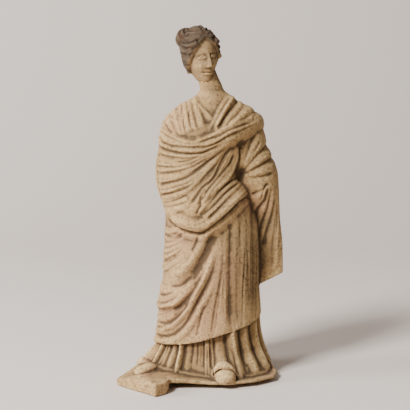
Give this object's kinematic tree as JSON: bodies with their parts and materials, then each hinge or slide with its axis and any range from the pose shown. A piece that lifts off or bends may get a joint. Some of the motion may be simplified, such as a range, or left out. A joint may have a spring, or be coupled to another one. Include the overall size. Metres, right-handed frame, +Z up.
{
  "type": "tanagra figurine",
  "caption": "Fired clay statuette of a standing woman wrapped in a mantle over a pleated gown, on the remains of a thin hollow plinth.",
  "frame": {"origin": "on the ground, below the middle of the whole piece's box", "axes": "+Z up through the crown of the head, the figure looks along -Y, +X is towards its left arm"},
  "size_m": [0.0992, 0.081, 0.2101],
  "materials": {
    "terracotta": "unglazed fired clay, matt, with worn white slip and earth in the folds"
  },
  "bodies": {
    "root": {"figurine": "terracotta"}
  },
  "joints": []
}
